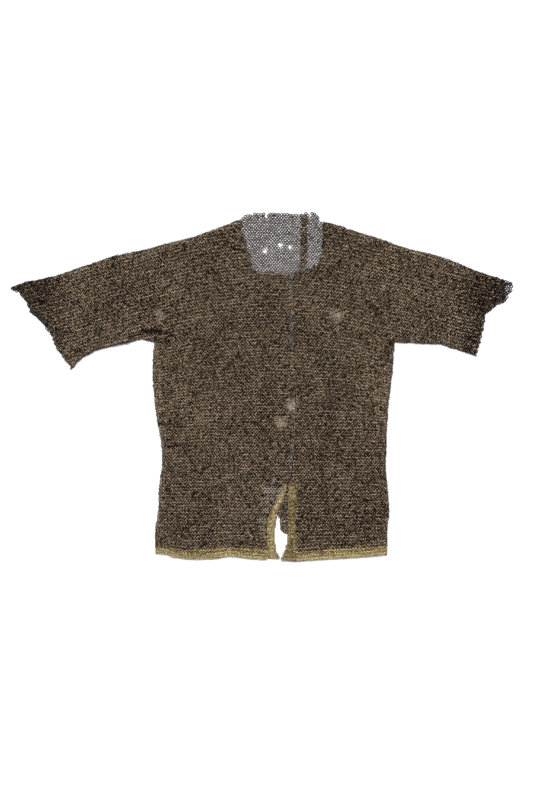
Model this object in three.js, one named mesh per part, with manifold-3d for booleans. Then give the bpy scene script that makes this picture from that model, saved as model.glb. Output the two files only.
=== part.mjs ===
// A mail shirt with short sleeves, laid flat on its back and seen from above.
// Millimetres. +X is the wearer's left, +Y is the neck, +Z is up from the surface that it lies on.
// Right and left in the names are the wearer's.
import * as THREE from 'three';
import { mergeVertices } from 'three/addons/utils/BufferGeometryUtils.js';
import Module from 'manifold-3d';

const wasm = await Module();
wasm.setup();
const { Manifold, Mesh: SolidMesh } = wasm;

// Sizes
const WALL = 3.6; // one layer of linked rings
const FOLD_RADIUS = 5.1; // half the thickness of a folded edge
const SEAM_GAP = 0.3; // between neighbours, and between what lies on each other
const FOLD_HOLLOW = 8.4; // width of the hollow inside a folded edge
const SETTLE_FROM = 12; // from here on the front layer sinks towards the back layer
const SETTLE_TO = 60; // and from here on it lies on it
const YOKE_LINE = 98; // height of the armpits
const BODY_BOTTOM = -392; // just under the longest point of the hem
const BODY_ROWS = 18; // section count from the armpits to the hem
const YOKE_ROWS = 9; // steps of a section from the armpits to the shoulder
const SLEEVE_STEPS = 8; // steps of a section across a sleeve, between its folds
const FOLD_POINTS = [0, 1.2, 3, 6, 12]; // section points beside a folded edge
const NECK_RIGHT_X = -48;
const NECK_LEFT_X = 131;
const COLLAR_LEFT_X = 126.5;
const COLLAR_OVER = 392; // the collar is cut from a sheet that reaches up to here
const CLOSURE_HALF = 4; // half the width of the line of rings that closes the front
const CUTTER_BOTTOM = -20; // the prisms that share out the layers reach from here
const CUTTER_HEIGHT = 60; // this far up, right through them
const RIP_SIDES = 10; // of a hole's oval outline

// Folded edges of the body, from the armpits down
const SIDE_FOLDS = [
  { y: 98, right: -237, left: 292 },
  { y: 81, right: -239, left: 289 },
  { y: 55, right: -241, left: 290 },
  { y: 24, right: -241, left: 285 },
  { y: -7, right: -239, left: 282 },
  { y: -37, right: -236, left: 278 },
  { y: -68, right: -232, left: 276 },
  { y: -95, right: -227, left: 274 },
  { y: -125, right: -221, left: 274 },
  { y: -152, right: -220, left: 273 },
  { y: -183, right: -221, left: 272 },
  { y: -213, right: -227, left: 275 },
  { y: -244, right: -228, left: 279 },
  { y: -275, right: -228, left: 280 },
  { y: -306, right: -235, left: 276 },
  { y: -332, right: -236, left: 275 },
  { y: -392, right: -235, left: 275 },
];

// Folded edges of the shoulders, from the armhole to the neck
const SHOULDER_RIGHT = [
  { x: -213, y: 315 },
  { x: -189, y: 320 },
  { x: -163, y: 328 },
  { x: -136, y: 335 },
  { x: -110, y: 345 },
  { x: -84, y: 355 },
  { x: -66, y: 362 },
  { x: NECK_RIGHT_X, y: 369 },
];
const SHOULDER_LEFT = [
  { x: 271, y: 322 },
  { x: 260, y: 326 },
  { x: 233, y: 334 },
  { x: 207, y: 343 },
  { x: 180, y: 352 },
  { x: 154, y: 360 },
  { x: NECK_LEFT_X, y: 365 },
];

// Sections of the sleeves, from the armhole to the cuff: the folded top edge and the folded underarm
const SLEEVE_RIGHT = [
  { topX: -213, topY: 315, lowX: -237, lowY: 98 },
  { topX: -246, topY: 305, lowX: -266, lowY: 105 },
  { topX: -284, topY: 297, lowX: -295, lowY: 97 },
  { topX: -326, topY: 288, lowX: -321, lowY: 91 },
  { topX: -367, topY: 275, lowX: -348, lowY: 85 },
  { topX: -409, topY: 260, lowX: -370, lowY: 78 },
  { topX: -449, topY: 246, lowX: -387, lowY: 69 },
  { topX: -484, topY: 237, lowX: -402, lowY: 59 },
  { topX: -519, topY: 232, lowX: -411, lowY: 48 },
  { topX: -554, topY: 219, lowX: -419, lowY: 39 },
];
const SLEEVE_LEFT = [
  { topX: 271, topY: 322, lowX: 292, lowY: 98 },
  { topX: 299, topY: 312, lowX: 312, lowY: 97 },
  { topX: 330, topY: 302, lowX: 332, lowY: 97 },
  { topX: 363, topY: 295, lowX: 352, lowY: 95 },
  { topX: 394, topY: 286, lowX: 372, lowY: 95 },
  { topX: 422, topY: 277, lowX: 392, lowY: 94 },
  { topX: 453, topY: 263, lowX: 411, lowY: 88 },
  { topX: 480, topY: 253, lowX: 431, lowY: 81 },
  { topX: 510, topY: 243, lowX: 449, lowY: 75 },
  { topX: 546, topY: 232, lowX: 465, lowY: 70 },
  { topX: 559, topY: 227, lowX: 482, lowY: 64 },
];

// Worn cuff edges from the top fold to the underarm; the back layer reaches past the front one
const CUFF_RIGHT = [
  { frontX: -552, frontY: 219, backX: -554, backY: 218 },
  { frontX: -536, frontY: 211, backX: -538, backY: 208 },
  { frontX: -522, frontY: 196, backX: -522, backY: 191 },
  { frontX: -508, frontY: 178, backX: -510, backY: 165 },
  { frontX: -489, frontY: 158, backX: -487, backY: 141 },
  { frontX: -466, frontY: 131, backX: -464, backY: 114 },
  { frontX: -452, frontY: 88, backX: -451, backY: 81 },
  { frontX: -436, frontY: 62, backX: -436, backY: 59 },
  { frontX: -419, frontY: 38, backX: -419, backY: 38 },
];
const CUFF_LEFT = [
  { frontX: 526, frontY: 242, backX: 547, backY: 234 },
  { frontX: 524, frontY: 229, backX: 554, backY: 219 },
  { frontX: 525, frontY: 212, backX: 552, backY: 213 },
  { frontX: 519, frontY: 193, backX: 539, backY: 191 },
  { frontX: 503, frontY: 172, backX: 513, backY: 176 },
  { frontX: 490, frontY: 158, backX: 492, backY: 160 },
  { frontX: 488, frontY: 134, backX: 489, backY: 133 },
  { frontX: 479, frontY: 101, backX: 480, backY: 100 },
  { frontX: 473, frontY: 77, backX: 474, backY: 75 },
  { frontX: 466, frontY: 68, backX: 466, backY: 66 },
];

// Front neckline from each shoulder down to the closure, and the higher top edge of the back
const NECK_RIGHT = [
  { x: NECK_RIGHT_X, y: 369 },
  { x: -40, y: 343 },
  { x: -33, y: 315 },
  { x: -25, y: 285 },
  { x: -16, y: 256 },
  { x: 2, y: 255 },
  { x: 59, y: 254 },
];
const NECK_LEFT = [
  { x: 67, y: 254 },
  { x: 84, y: 259 },
  { x: 103, y: 261 },
  { x: 120, y: 269 },
  { x: 128, y: 293 },
  { x: 131, y: 317 },
  { x: 131.5, y: 341 },
  { x: NECK_LEFT_X, y: 365 },
];
const COLLAR_TOP = [
  { x: -47.8, y: 371 },
  { x: -46, y: 375 },
  { x: -37, y: 380 },
  { x: -18, y: 382 },
  { x: 0, y: 384 },
  { x: 22, y: 384 },
  { x: 48, y: 383 },
  { x: 75, y: 383 },
  { x: 97, y: 384 },
  { x: 118, y: 385 },
  { x: 125, y: 375 },
  { x: COLLAR_LEFT_X, y: 368 },
  { x: 130.8, y: 366 },
];
// A fold of the back neck that lies on the back panel inside the neckline
const NECK_FOLD = [
  { x: 83, y: 262 },
  { x: 96, y: 264.5 },
  { x: 98, y: 300 },
  { x: 97, y: 345 },
  { x: 99, y: 376 },
  { x: 88, y: 377 },
  { x: 84, y: 340 },
  { x: 86, y: 300 },
];

// Line down the middle of the front closure
const CLOSURE_LINE = [
  { y: 254, x: 63 },
  { y: 150, x: 64 },
  { y: 66, x: 66 },
  { y: -20, x: 69 },
  { y: -101, x: 69 },
  { y: -132, x: 66 },
  { y: -176, x: 62 },
  { y: -213, x: 57 },
];

// Borders of the front slit, from its top down
const SLIT_BORDERS = [
  { y: -213, rightOuter: 50, rightInner: 57, leftInner: 58, leftOuter: 76 },
  { y: -244, rightOuter: 36, rightInner: 49, leftInner: 58, leftOuter: 76 },
  { y: -275, rightOuter: 21, rightInner: 36, leftInner: 57, leftOuter: 75 },
  { y: -293, rightOuter: 14, rightInner: 30, leftInner: 57, leftOuter: 74 },
  { y: -319, rightOuter: 13, rightInner: 29, leftInner: 56, leftOuter: 73 },
  { y: -345, rightOuter: 13, rightInner: 29, leftInner: 54, leftOuter: 75 },
  { y: -363, rightOuter: 14, rightInner: 32, leftInner: 49, leftOuter: 76 },
  { y: -374, rightOuter: 14, rightInner: 39, leftInner: 42, leftOuter: 76 },
  { y: -400, rightOuter: 15, rightInner: 39, leftInner: 42, leftOuter: 76 },
];

// Hem: top line of the border and the hem edge, from the right fold to the left one
const HEM = [
  { x: -300, top: -351, edge: -364 },
  { x: -235, top: -351, edge: -366 },
  { x: -210, top: -353, edge: -369 },
  { x: -197, top: -357, edge: -375 },
  { x: -163, top: -359, edge: -380 },
  { x: -132, top: -356, edge: -380 },
  { x: -104, top: -354, edge: -379 },
  { x: -72, top: -353, edge: -373 },
  { x: -48, top: -354, edge: -376 },
  { x: -24, top: -356, edge: -379 },
  { x: 3, top: -358, edge: -381 },
  { x: 14, top: -358, edge: -379 },
  { x: 76, top: -363, edge: -385 },
  { x: 97, top: -361, edge: -383 },
  { x: 124, top: -359, edge: -381 },
  { x: 158, top: -356, edge: -379 },
  { x: 194, top: -354, edge: -377 },
  { x: 224, top: -353, edge: -375 },
  { x: 251, top: -352, edge: -372 },
  { x: 276, top: -351, edge: -369 },
  { x: 330, top: -350, edge: -366 },
];

// Worn vent in the middle of the back hem
const VENT_OUTLINE = [
  { x: 21, y: -410 },
  { x: 21, y: -305 },
  { x: 26, y: -284 },
  { x: 34, y: -281 },
  { x: 40, y: -299 },
  { x: 40, y: -312 },
  { x: 45, y: -323 },
  { x: 55, y: -325 },
  { x: 68, y: -328 },
  { x: 68, y: -410 },
];

// Holes where rings of the back layer are lost; the angle turns the length from +Y
const RIPS = [
  { name: 'neck right', x: 7, y: 300, width: 5, length: 11, angle: -25 },
  { name: 'neck middle', x: 40, y: 311, width: 6, length: 13, angle: -15 },
  { name: 'neck left', x: 62, y: 306, width: 4.4, length: 8, angle: 10 },
  { name: 'collar notch', x: 9, y: 381, width: 5, length: 13, angle: 10 },
  { name: 'collar hole', x: 105, y: 376, width: 4.4, length: 9, angle: 0 },
  { name: 'chest', x: 165, y: 158, width: 11, length: 11, angle: 0 },
  { name: 'shoulder', x: -219, y: 155, width: 7, length: 11, angle: -6 },
  { name: 'belly', x: 40, y: -79, width: 18, length: 15, angle: 0 },
  { name: 'closure', x: 65, y: -40, width: 14, length: 18, angle: 10 },
];

// Creases of the front layer; the angle turns the length from +X
const CREASES = [
  { name: 'armpit roll', x: -242, y: 145, length: 154, angle: -4, width: 14, height: 3.8 },
  { name: 'armpit end', x: -198, y: 84, length: 97, angle: 14, width: 13, height: 2.6 },
  { name: 'far armpit', x: 266, y: 84, length: 119, angle: 52, width: 18, height: 2.6 },
  { name: 'far underarm', x: 348, y: 122, length: 110, angle: 2, width: 15, height: 2.0 },
  { name: 'side pucker high', x: -202, y: -81, length: 75, angle: -8, width: 13, height: 2.0 },
  { name: 'side pucker low', x: -198, y: -130, length: 88, angle: 6, width: 13, height: 2.2 },
  { name: 'right skirt', x: -145, y: -249, length: 242, angle: 86, width: 29, height: 1.7 },
  { name: 'left skirt', x: 194, y: -249, length: 264, angle: 94, width: 31, height: 1.7 },
  { name: 'belly', x: -53, y: -150, length: 198, angle: 78, width: 33, height: 1.3 },
  { name: 'left chest', x: 194, y: 125, length: 242, angle: 100, width: 35, height: 1.3 },
  { name: 'right sleeve', x: -356, y: 200, length: 211, angle: 17, width: 26, height: 1.8 },
  { name: 'left sleeve', x: 392, y: 200, length: 198, angle: -17, width: 26, height: 1.8 },
  { name: 'shoulder', x: -125, y: 275, length: 154, angle: 17, width: 22, height: 1.4 },
];

// Helpers for points, lines and sections
const mix = (a, b, t) => a + (b - a) * t;
const smooth = (t) => {
  const s = Math.min(Math.max(t, 0), 1);
  return s * s * (3 - 2 * s);
};

// The value of column `name` of a table at `at`, which is measured along column `along`.
function readTable(table, along, name, at) {
  const rising = table[0][along] < table[table.length - 1][along];
  const rows = rising ? table : [...table].reverse();
  let i = 0;
  while (i < rows.length - 2 && rows[i + 1][along] < at) i += 1;
  const t = (at - rows[i][along]) / (rows[i + 1][along] - rows[i][along]);
  return mix(rows[i][name], rows[i + 1][name], Math.min(Math.max(t, 0), 1));
}

// Positions from `from` to `to`, with `steps` steps and both ends.
function spread(from, to, steps) {
  return Array.from({ length: steps + 1 }, (_, i) => mix(from, to, i / steps));
}

// Distances along a section of this length, fine beside a fold at its start, its end or both.
function sectionStops(length, steps, foldAtStart, foldAtEnd) {
  const last = FOLD_POINTS[FOLD_POINTS.length - 1];
  const from = foldAtStart ? last : 0;
  const to = foldAtEnd ? length - last : length;
  const start = foldAtStart ? FOLD_POINTS.slice(0, -1) : [];
  const end = foldAtEnd ? FOLD_POINTS.slice(0, -1).map((d) => length - d).reverse() : [];
  return [...start, ...spread(from, to, steps), ...end];
}

// Points of the straight section from a to b at those distances.
function section(a, b, steps, foldAtStart, foldAtEnd) {
  const length = Math.hypot(b.x - a.x, b.y - a.y);
  return sectionStops(length, steps, foldAtStart, foldAtEnd).map((d) => ({
    x: mix(a.x, b.x, d / length),
    y: mix(a.y, b.y, d / length),
  }));
}

// The four folded edges, each as a line of points
const sleeveTop = (table) => table.map((row) => ({ x: row.topX, y: row.topY }));
const sleeveLow = (table) => table.map((row) => ({ x: row.lowX, y: row.lowY })).reverse();
const FOLD_LINES = [
  [...[...SHOULDER_RIGHT].reverse(), ...sleeveTop(SLEEVE_RIGHT).slice(1)],
  [...[...SHOULDER_LEFT].reverse(), ...sleeveTop(SLEEVE_LEFT).slice(1)],
  [...sleeveLow(SLEEVE_RIGHT), ...SIDE_FOLDS.slice(1).map((row) => ({ x: row.right, y: row.y }))],
  [...sleeveLow(SLEEVE_LEFT), ...SIDE_FOLDS.slice(1).map((row) => ({ x: row.left, y: row.y }))],
];

// Distance from a point to the nearest folded edge.
function foldDistance(x, y) {
  let nearest = Infinity;
  for (const line of FOLD_LINES) {
    for (let i = 0; i + 1 < line.length; i += 1) {
      const a = line[i];
      const dx = line[i + 1].x - a.x;
      const dy = line[i + 1].y - a.y;
      const t = ((x - a.x) * dx + (y - a.y) * dy) / (dx * dx + dy * dy);
      const s = Math.min(Math.max(t, 0), 1);
      nearest = Math.min(nearest, Math.hypot(x - a.x - s * dx, y - a.y - s * dy));
    }
  }
  return nearest;
}

// Height that the creases add to the front layer: each one is a ridge with a rounded section
// and ends that fade out.
function creaseHeight(x, y) {
  let height = 0;
  for (const crease of CREASES) {
    const turn = (crease.angle * Math.PI) / 180;
    const along = (x - crease.x) * Math.cos(turn) + (y - crease.y) * Math.sin(turn);
    const across = (y - crease.y) * Math.cos(turn) - (x - crease.x) * Math.sin(turn);
    const fade = 1 - smooth((2 * Math.abs(along)) / crease.length);
    height += crease.height * fade * Math.exp(-((across / crease.width) ** 2));
  }
  return height * smooth((foldDistance(x, y) - 4) / 26);
}

// Rise of the outer face of a folded edge, a quarter circle.
function outerRise(d) {
  const t = 1 - Math.min(d / FOLD_RADIUS, 1);
  return FOLD_RADIUS * Math.sqrt(1 - t * t);
}

// Rise of its inner face, a flat quarter ellipse that starts one wall inside the edge.
function innerRise(d) {
  const t = 1 - Math.min(Math.max((d - WALL) / FOLD_HOLLOW, 0), 1);
  return (FOLD_RADIUS - WALL) * Math.sqrt(1 - t * t);
}

const seamShare = (d) => (SEAM_GAP / 2) * (1 - smooth((d - WALL) / FOLD_HOLLOW));
const backBottom = (x, y) => {
  const d = foldDistance(x, y);
  return Math.min(FOLD_RADIUS - outerRise(d), FOLD_RADIUS - SEAM_GAP / 2 - 0.35);
};
const backTop = (x, y) => {
  const d = foldDistance(x, y);
  return FOLD_RADIUS - seamShare(d) - innerRise(d);
};
const sink = (d) =>
  (2 * FOLD_RADIUS - 2 * WALL - SEAM_GAP) * smooth((d - SETTLE_FROM) / (SETTLE_TO - SETTLE_FROM));
const frontBottom = (x, y) => {
  const d = foldDistance(x, y);
  return FOLD_RADIUS + seamShare(d) + innerRise(d) - sink(d) + creaseHeight(x, y);
};
const frontTop = (x, y) => {
  const d = foldDistance(x, y);
  const top = FOLD_RADIUS + outerRise(d) - sink(d) + creaseHeight(x, y);
  return Math.max(top, frontBottom(x, y) + 0.35);
};

// Sections of the body, from side to side, and of the yoke, from the armpits to the shoulders.
// The section points on the armpit line are shared.
function bodySections() {
  const rows = [];
  const innerSteps = 19;
  for (const y of spread(BODY_BOTTOM, YOKE_LINE, BODY_ROWS)) {
    const right = readTable(SIDE_FOLDS, 'y', 'right', y);
    const left = readTable(SIDE_FOLDS, 'y', 'left', y);
    rows.push(section({ x: right, y }, { x: left, y }, innerSteps, true, true));
  }
  return rows;
}

function yokeSections(lowRow) {
  const first = SHOULDER_RIGHT[0].x;
  const last = SHOULDER_LEFT[0].x;
  const margin = FOLD_POINTS[FOLD_POINTS.length - 1];
  const topX = [
    ...FOLD_POINTS.slice(0, -1).map((d) => first + d),
    ...spread(first + margin, NECK_RIGHT_X, 6),
    NECK_RIGHT_X + 3,
    ...spread(NECK_RIGHT_X + 3, COLLAR_LEFT_X, 6).slice(1),
    NECK_LEFT_X,
    ...spread(NECK_LEFT_X, last - margin, 5).slice(1),
    ...FOLD_POINTS.slice(0, -1).map((d) => last - d).reverse(),
  ];
  const topY = (x) => {
    if (x <= NECK_RIGHT_X) return readTable(SHOULDER_RIGHT, 'x', 'y', x);
    if (x >= NECK_LEFT_X) return readTable(SHOULDER_LEFT, 'x', 'y', x);
    return COLLAR_OVER;
  };
  return lowRow.map((low, i) => section(low, { x: topX[i], y: topY(topX[i]) }, YOKE_ROWS, false, true));
}

function sleeveSections(table) {
  return table.map((row) =>
    section({ x: row.lowX, y: row.lowY }, { x: row.topX, y: row.topY }, SLEEVE_STEPS, true, true));
}

// Solid, for cuts, of a closed geometry.
function solidOf(geometry) {
  geometry.deleteAttribute('normal');
  geometry.deleteAttribute('uv');
  const merged = mergeVertices(geometry);
  return new Manifold(new SolidMesh({
    numProp: 3,
    vertProperties: merged.getAttribute('position').array,
    triVerts: new Uint32Array(merged.getIndex().array),
  }));
}

// Closed solid between two heights over patches of sections, with a rim along every open border.
function wallSolid(patches, bottomAt, topAt) {
  const numbers = new Map();
  const points = [];
  const faces = [];
  const vertex = (p) => {
    const key = `${Math.round(p.x * 50)},${Math.round(p.y * 50)}`;
    if (!numbers.has(key)) {
      numbers.set(key, points.length);
      points.push(p);
    }
    return numbers.get(key);
  };
  const addFace = (a, b, c) => {
    if (a === b || b === c || a === c) return;
    const [p, q, r] = [points[a], points[b], points[c]];
    const turn = (q.x - p.x) * (r.y - p.y) - (q.y - p.y) * (r.x - p.x);
    faces.push(turn > 0 ? [a, b, c] : [a, c, b]);
  };
  for (const rows of patches) {
    for (let j = 0; j + 1 < rows.length; j += 1) {
      for (let i = 0; i + 1 < rows[j].length; i += 1) {
        const a = vertex(rows[j][i]);
        const b = vertex(rows[j][i + 1]);
        const c = vertex(rows[j + 1][i + 1]);
        const d = vertex(rows[j + 1][i]);
        addFace(a, b, c);
        addFace(a, c, d);
      }
    }
  }
  const edges = new Set(faces.flatMap(([a, b, c]) => [`${a},${b}`, `${b},${c}`, `${c},${a}`]));
  const count = points.length;
  const triangles = [];
  for (const [a, b, c] of faces) {
    triangles.push(a, b, c);
    triangles.push(c + count, b + count, a + count);
    for (const [from, to] of [[a, b], [b, c], [c, a]]) {
      if (edges.has(`${to},${from}`)) continue;
      triangles.push(from + count, to + count, to);
      triangles.push(from + count, to, from);
    }
  }
  const heights = [topAt, bottomAt];
  const vertices = heights.flatMap((heightAt) => points.flatMap((p) => [p.x, p.y, heightAt(p.x, p.y)]));
  const geometry = new THREE.BufferGeometry();
  geometry.setAttribute('position', new THREE.Float32BufferAttribute(vertices, 3));
  geometry.setIndex(triangles);
  return solidOf(geometry);
}

// Flat outlines that share the shirt out among its pieces
const column = (table, name, shift = 0) => table.map((row) => ({ x: row[name] + shift, y: row.y }));
const sleeveRightArea = [
  { x: -210.8, y: 335 },
  { x: -213, y: 315 },
  { x: -237, y: 98 },
  { x: -300, y: 55 },
  { x: -300, y: -100 },
  { x: -700, y: -100 },
  { x: -700, y: 335 },
];
const sleeveLeftArea = [
  { x: 269.2, y: 341 },
  { x: 271, y: 322 },
  { x: 292, y: 98 },
  { x: 340, y: 62 },
  { x: 340, y: -100 },
  { x: 700, y: -100 },
  { x: 700, y: 341 },
];
const bodyArea = [
  { x: -237, y: 98 },
  { x: -213, y: 315 },
  { x: -213, y: 420 },
  { x: 271, y: 420 },
  { x: 271, y: 322 },
  { x: 292, y: 98 },
  { x: 320, y: 82 },
  { x: 320, y: -420 },
  { x: -270, y: -420 },
  { x: -270, y: 72 },
];
const hemEdge = HEM.map((row) => ({ x: row.x, y: row.edge }));
const hemTop = HEM.map((row) => ({ x: row.x, y: row.top }));
const aboveHem = [...hemEdge, { x: 330, y: 420 }, { x: -300, y: 420 }];
const aboveBorder = [...hemTop, { x: 330, y: 420 }, { x: -300, y: 420 }];

const neckline = [
  ...NECK_RIGHT,
  ...NECK_LEFT,
  { x: NECK_LEFT_X, y: 430 },
  { x: NECK_RIGHT_X, y: 430 },
];
const overCollar = [...COLLAR_TOP, { x: 130.8, y: 430 }, { x: -47.8, y: 430 }];
const closureArea = [
  ...column(CLOSURE_LINE, 'x', -CLOSURE_HALF),
  ...column(CLOSURE_LINE, 'x', CLOSURE_HALF).reverse(),
];
const rightOfFront = [
  { x: 59, y: 420 },
  ...column(CLOSURE_LINE, 'x', -CLOSURE_HALF),
  ...column(SLIT_BORDERS, 'rightInner'),
  { x: -700, y: -400 },
  { x: -700, y: 420 },
];
const leftOfFront = [
  { x: 67, y: 420 },
  ...column(CLOSURE_LINE, 'x', CLOSURE_HALF),
  ...column(SLIT_BORDERS, 'leftInner'),
  { x: 700, y: -400 },
  { x: 700, y: 420 },
];
const slitRight = [
  ...column(SLIT_BORDERS, 'rightOuter'),
  ...column(SLIT_BORDERS, 'rightInner').reverse(),
];
const slitLeft = [
  ...column(SLIT_BORDERS, 'leftInner'),
  ...column(SLIT_BORDERS, 'leftOuter').reverse(),
];
const rightHalf = [{ x: -700, y: -420 }, { x: 33, y: -420 }, { x: 33, y: 420 }, { x: -700, y: 420 }];

// The sleeve as far as its worn edge, for the front or the back layer.
function beforeCuff(table, layer, outX) {
  const edge = table.map((row) => ({ x: row[`${layer}X`], y: row[`${layer}Y`] }));
  const first = edge[0];
  const last = edge[edge.length - 1];
  return [
    ...edge,
    { x: last.x - Math.sign(outX) * 8, y: last.y - 60 },
    { x: 0, y: -100 },
    { x: 0, y: 420 },
    { x: first.x - Math.sign(outX) * 2, y: first.y + 60 },
  ];
}

// Whole layers
const body = bodySections();
const yoke = yokeSections(body[body.length - 1]);
const layers = {
  front: {
    body: wallSolid([body, yoke], frontBottom, frontTop),
    right: wallSolid([sleeveSections(SLEEVE_RIGHT)], frontBottom, frontTop),
    left: wallSolid([sleeveSections(SLEEVE_LEFT)], frontBottom, frontTop),
  },
  back: {
    body: wallSolid([body, yoke], backBottom, backTop),
    right: wallSolid([sleeveSections(SLEEVE_RIGHT)], backBottom, backTop),
    left: wallSolid([sleeveSections(SLEEVE_LEFT)], backBottom, backTop),
  },
};

// Outline with each side moved out by `grow`, or in where that is below 0. A corner moves along its
// mitre, the sum of its two sides' normals, which is kept short at a very sharp corner.
function movedOutline(points, grow) {
  const out = THREE.ShapeUtils.isClockWise(points) ? -grow : grow;
  const sides = points.map((p, i) => {
    const next = points[(i + 1) % points.length];
    return new THREE.Vector2(next.y - p.y, p.x - next.x).normalize();
  });
  return points.map((p, i) => {
    const before = sides[(i + sides.length - 1) % sides.length];
    const length = out / Math.max(1 + before.dot(sides[i]), 0.25);
    return new THREE.Vector2(p.x + (before.x + sides[i].x) * length, p.y + (before.y + sides[i].y) * length);
  });
}

// Prism over an outline that is moved out by `grow`, right through the layers.
function prism(points, grow) {
  const shape = new THREE.Shape(movedOutline(points, grow));
  const geometry = new THREE.ExtrudeGeometry(shape, { depth: CUTTER_HEIGHT, bevelEnabled: false });
  geometry.translate(0, 0, CUTTER_BOTTOM);
  return solidOf(geometry);
}

// The part of a layer inside all of some outlines and outside the others, with half a seam gap left
// free along each of them.
function cutPiece(layer, inside, outside = []) {
  const kept = inside.reduce((left, area) => left.intersect(prism(area, -SEAM_GAP / 2)), layer);
  return outside.reduce((left, area) => left.subtract(prism(area, SEAM_GAP / 2)), kept);
}

// Oval prism of a hole.
function ripPrism(rip) {
  const turn = THREE.MathUtils.degToRad(rip.angle);
  const oval = new THREE.EllipseCurve(
    rip.x, rip.y, rip.width / 2, rip.length / 2, 0, 2 * Math.PI, false, turn,
  );
  return prism(oval.getPoints(RIP_SIDES).slice(0, -1), 0);
}
const withRips = (solid) => RIPS.reduce((left, rip) => left.subtract(ripPrism(rip)), solid);

const { front, back } = layers;

const pieces = [
  ['back_panel', 'iron_mail',
    withRips(cutPiece(back.body, [bodyArea, aboveBorder], [overCollar, VENT_OUTLINE]))],
  ['front_right_panel', 'iron_mail',
    cutPiece(front.body, [bodyArea, aboveBorder, rightOfFront], [neckline, slitRight])],
  ['front_left_panel', 'iron_mail',
    cutPiece(front.body, [bodyArea, aboveBorder, leftOfFront], [neckline, slitLeft])],
  ['closure_strip', 'pale_iron', cutPiece(front.body, [closureArea], [neckline])],
  ['sleeve_right_front', 'iron_mail',
    cutPiece(front.right, [sleeveRightArea, beforeCuff(CUFF_RIGHT, 'front', -1)])],
  ['sleeve_right_back', 'iron_mail',
    cutPiece(back.right, [sleeveRightArea, beforeCuff(CUFF_RIGHT, 'back', -1)])],
  ['sleeve_left_front', 'iron_mail',
    cutPiece(front.left, [sleeveLeftArea, beforeCuff(CUFF_LEFT, 'front', 1)])],
  ['sleeve_left_back', 'iron_mail',
    cutPiece(back.left, [sleeveLeftArea, beforeCuff(CUFF_LEFT, 'back', 1)])],
  ['hem_border_front_right', 'brass_mail',
    cutPiece(front.body, [bodyArea, aboveHem, rightOfFront], [aboveBorder, slitRight])],
  ['hem_border_front_left', 'brass_mail',
    cutPiece(front.body, [bodyArea, aboveHem, leftOfFront], [aboveBorder, slitLeft])],
  ['hem_border_back_right', 'brass_mail',
    cutPiece(back.body, [bodyArea, aboveHem, rightHalf], [aboveBorder, VENT_OUTLINE])],
  ['hem_border_back_left', 'brass_mail',
    cutPiece(back.body, [bodyArea, aboveHem], [aboveBorder, VENT_OUTLINE, rightHalf])],
  ['slit_border_right', 'brass_mail', cutPiece(front.body, [slitRight, aboveHem])],
  ['slit_border_left', 'brass_mail', cutPiece(front.body, [slitLeft, aboveHem])],
];

// The neck fold lies on the back panel: its points are the panel's, moved up.
const neckFold = wallSolid(
  [body, yoke],
  (x, y) => backTop(x, y) + SEAM_GAP,
  (x, y) => backTop(x, y) + SEAM_GAP + WALL,
);
pieces.push(['neck_fold', 'iron_mail', cutPiece(neckFold, [NECK_FOLD])]);

const COLOURS = { iron_mail: 0x5a4e42, pale_iron: 0x9c968c, brass_mail: 0xa8905a };
const ROUGHNESS = { iron_mail: 0.5, pale_iron: 0.45, brass_mail: 0.4 };

const shirt = new THREE.Group();
shirt.name = 'mail_shirt';
for (const [name, slot, solid] of pieces) {
  const data = solid.getMesh();
  const geometry = new THREE.BufferGeometry();
  geometry.setAttribute('position', new THREE.BufferAttribute(data.vertProperties, 3));
  geometry.setIndex(new THREE.BufferAttribute(data.triVerts, 1));
  const material = new THREE.MeshStandardMaterial({
    color: COLOURS[slot],
    metalness: 0.9,
    roughness: ROUGHNESS[slot],
  });
  material.name = slot;
  const mesh = new THREE.Mesh(geometry, material);
  mesh.name = name;
  shirt.add(mesh);
}

export default shirt;
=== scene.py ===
import bpy
import numpy as np
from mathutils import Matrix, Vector
from mathutils.bvhtree import BVHTree


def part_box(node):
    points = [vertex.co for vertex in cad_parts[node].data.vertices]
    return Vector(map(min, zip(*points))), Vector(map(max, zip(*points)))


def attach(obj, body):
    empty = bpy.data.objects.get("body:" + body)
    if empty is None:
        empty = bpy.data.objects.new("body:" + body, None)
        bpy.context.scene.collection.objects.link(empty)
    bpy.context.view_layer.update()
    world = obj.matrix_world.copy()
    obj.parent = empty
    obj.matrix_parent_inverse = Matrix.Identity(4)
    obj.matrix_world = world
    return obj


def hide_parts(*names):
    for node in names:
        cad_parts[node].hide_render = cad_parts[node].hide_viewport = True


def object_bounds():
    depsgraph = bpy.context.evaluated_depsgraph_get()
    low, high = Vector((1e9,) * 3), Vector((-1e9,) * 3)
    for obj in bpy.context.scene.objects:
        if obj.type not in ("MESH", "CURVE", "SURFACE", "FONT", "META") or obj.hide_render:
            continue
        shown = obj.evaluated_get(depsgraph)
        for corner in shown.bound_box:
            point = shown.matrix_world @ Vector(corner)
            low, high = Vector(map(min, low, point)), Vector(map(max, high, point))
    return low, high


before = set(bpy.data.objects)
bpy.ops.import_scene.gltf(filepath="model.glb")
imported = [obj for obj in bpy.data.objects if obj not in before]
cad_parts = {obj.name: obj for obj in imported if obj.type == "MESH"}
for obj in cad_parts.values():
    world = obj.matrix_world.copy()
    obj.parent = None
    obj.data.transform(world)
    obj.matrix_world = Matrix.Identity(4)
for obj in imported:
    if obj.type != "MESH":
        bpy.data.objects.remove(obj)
cad_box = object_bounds()

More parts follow.
